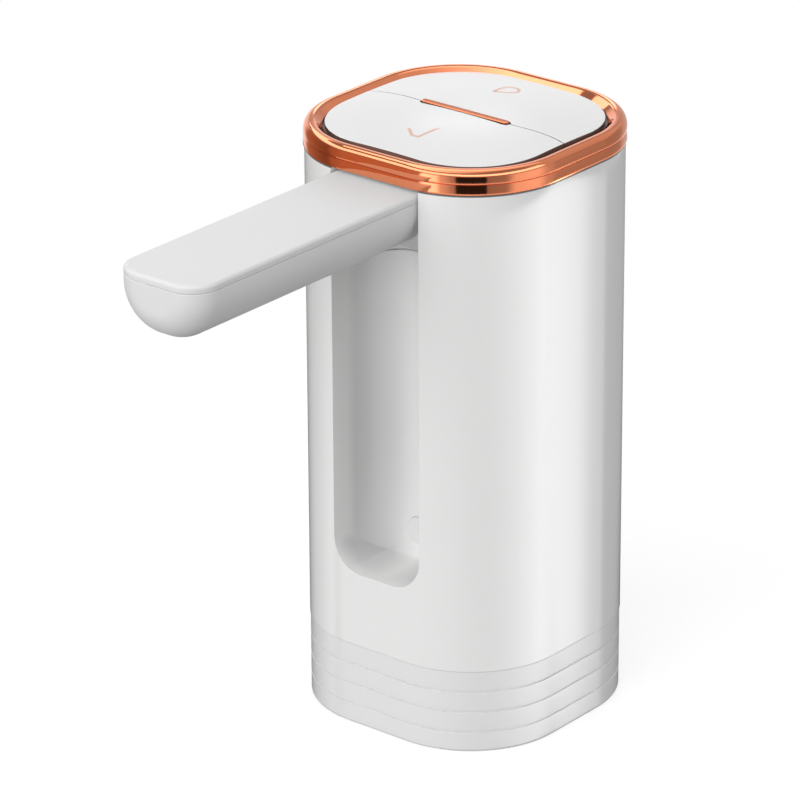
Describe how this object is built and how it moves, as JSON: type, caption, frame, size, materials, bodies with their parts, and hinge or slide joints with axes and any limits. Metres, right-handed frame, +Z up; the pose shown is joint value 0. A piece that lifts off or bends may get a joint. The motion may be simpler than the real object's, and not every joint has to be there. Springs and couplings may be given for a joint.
{
  "type": "electric water jug pump",
  "caption": "Battery pump that seats on a water jug's neck, with a folding spout, polished top ring, press keys, gear pump and motor.",
  "frame": {"origin": "centre of the jug neck socket's mouth, on the underside of the base", "axes": "+Z up along the neck axis, the spout points along -Y, +X to the right seen from the spout side's user"},
  "size_m": [0.0706, 0.1483, 0.1531],
  "materials": {
    "white_shell": "glossy white moulded plastic",
    "white_satin": "satin white moulded plastic",
    "key_white": "glossy white moulded plastic",
    "copper_trim": "polished copper-coloured plating",
    "inner_plastic": "plain moulded plastic",
    "dark_plastic": "dark moulded plastic",
    "silicone": "milky silicone",
    "rubber_dark": "black rubber",
    "steel": "plain steel",
    "brass": "plain brass",
    "copper_wire": "enamelled copper wire",
    "magnet": "sintered ferrite",
    "board_green": "printed board with solder mask",
    "cell_wrap": "shrink-wrapped cell",
    "lead_red": "insulated wire"
  },
  "bodies": {
    "housing": {"base_collar": "white_satin", "neck_sleeve": "silicone", "base_screws": "steel", "chassis": "inner_plastic", "intake_spigot": "inner_plastic", "intake_hose": "silicone", "body_shell": "white_shell", "recess_bumper": "white_satin", "top_deck": "inner_plastic", "deck_screws": "steel", "top_ring": "copper_trim", "accent_bar": "copper_trim", "control_board": "board_green", "board_chips": "dark_plastic", "tact_switches": "dark_plastic", "board_screws": "steel", "pump_cover": "dark_plastic", "pump_gasket": "silicone", "pump_body": "dark_plastic", "pump_screws": "steel", "motor_screws": "steel", "idler_pin": "steel", "shaft_seal": "rubber_dark", "motor_can": "steel", "field_magnets": "magnet", "motor_bushes": "brass", "motor_end_bell": "dark_plastic", "motor_terminals": "brass", "outlet_hose": "silicone", "battery_cell": "cell_wrap", "battery_tabs": "steel", "charge_board": "board_green", "charge_socket": "steel", "charge_screws": "steel", "motor_leads": "lead_red", "battery_leads": "lead_red", "charge_leads": "lead_red", "swivel_elbow": "dark_plastic", "swivel_oring": "rubber_dark", "pivot_pin": "steel", "front_key_springs": "steel", "rear_key_springs": "steel"},
    "front_key": {"front_key": "key_white"},
    "rear_key": {"rear_key": "key_white"},
    "spout": {"spout_shell": "white_satin", "spout_lid": "white_satin", "spout_tube": "silicone", "outlet_nozzle": "inner_plastic", "nozzle_screen": "steel"},
    "rotor": {"motor_shaft": "steel", "armature": "steel", "armature_windings": "copper_wire", "commutator": "copper_wire", "drive_gear": "inner_plastic"},
    "idler": {"idler_gear": "inner_plastic"}
  },
  "joints": [
    {"name": "spout_fold", "type": "hinge", "parent": "housing", "child": "spout", "pos_m": [0, -0.02325, 0.13275], "axis": [1, 0, 0], "range_deg": [0, 90]},
    {"name": "front_key_press", "type": "slide", "parent": "housing", "child": "front_key", "axis": [0, 0, -1], "range_m": [0, 0.001], "stiffness_N_per_m": 600, "springref_m": -0.0005, "deforming": ["front_key_springs"]},
    {"name": "rear_key_press", "type": "slide", "parent": "housing", "child": "rear_key", "axis": [0, 0, -1], "range_m": [0, 0.001], "stiffness_N_per_m": 600, "springref_m": -0.0005, "deforming": ["rear_key_springs"]},
    {"name": "rotor_spin", "type": "hinge", "parent": "housing", "child": "rotor", "pos_m": [-0.004, 0.0046, 0.07], "axis": [0, 0, 1], "continuous": true},
    {"name": "idler_spin", "type": "hinge", "parent": "housing", "child": "idler", "pos_m": [0.004, 0.0046, 0.052], "axis": [0, 0, 1], "continuous": true}
  ],
  "couplings": [
    {"joint": "idler_spin", "follows": "rotor_spin", "ratio": -1}
  ]
}
